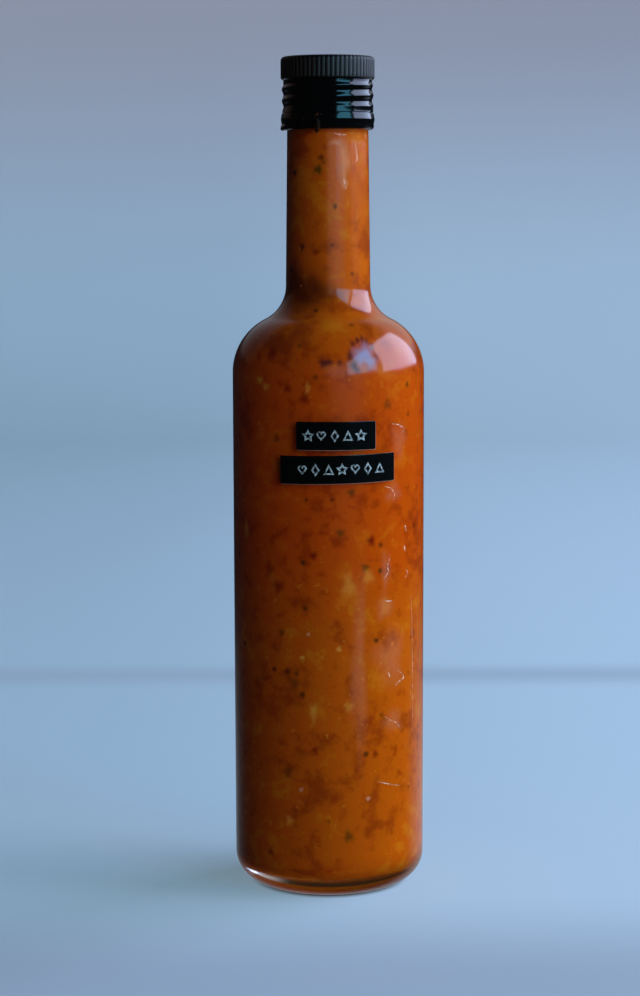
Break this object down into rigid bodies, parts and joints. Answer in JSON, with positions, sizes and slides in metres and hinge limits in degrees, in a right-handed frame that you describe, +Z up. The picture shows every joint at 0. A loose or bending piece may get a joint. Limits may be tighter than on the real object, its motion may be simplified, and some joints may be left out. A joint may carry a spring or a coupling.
{
  "type": "ketchup bottle",
  "caption": "Round clear glass bottle with a long neck, full of thick orange-brown ketchup, shut with a black ribbed screw cap and marked with strips of black tape.",
  "frame": {"origin": "centre of the bottle's base, on the plane that it stands on", "axes": "+Z up along the bottle's axis; the two tapes face -Y; +X to the right when the tapes are looked at"},
  "size_m": [0.065, 0.0654, 0.2815],
  "materials": {
    "clear_glass": "clear moulded soda-lime glass, smooth",
    "ketchup_pulp": "thick mottled orange-brown fruit ketchup, wet against the glass",
    "black_lacquer": "glossy black lacquer on thin rolled aluminium",
    "tape_plastic": "glossy black vinyl embossing tape with stress-whitened marks",
    "dried_pulp": "dried dark brown ketchup"
  },
  "bodies": {
    "root": {"bottle_glass": "clear_glass", "ketchup": "ketchup_pulp", "screw_cap": "black_lacquer", "cap_ring": "black_lacquer", "tape_upper": "tape_plastic", "tape_lower": "tape_plastic", "dried_drop": "dried_pulp"}
  },
  "joints": []
}
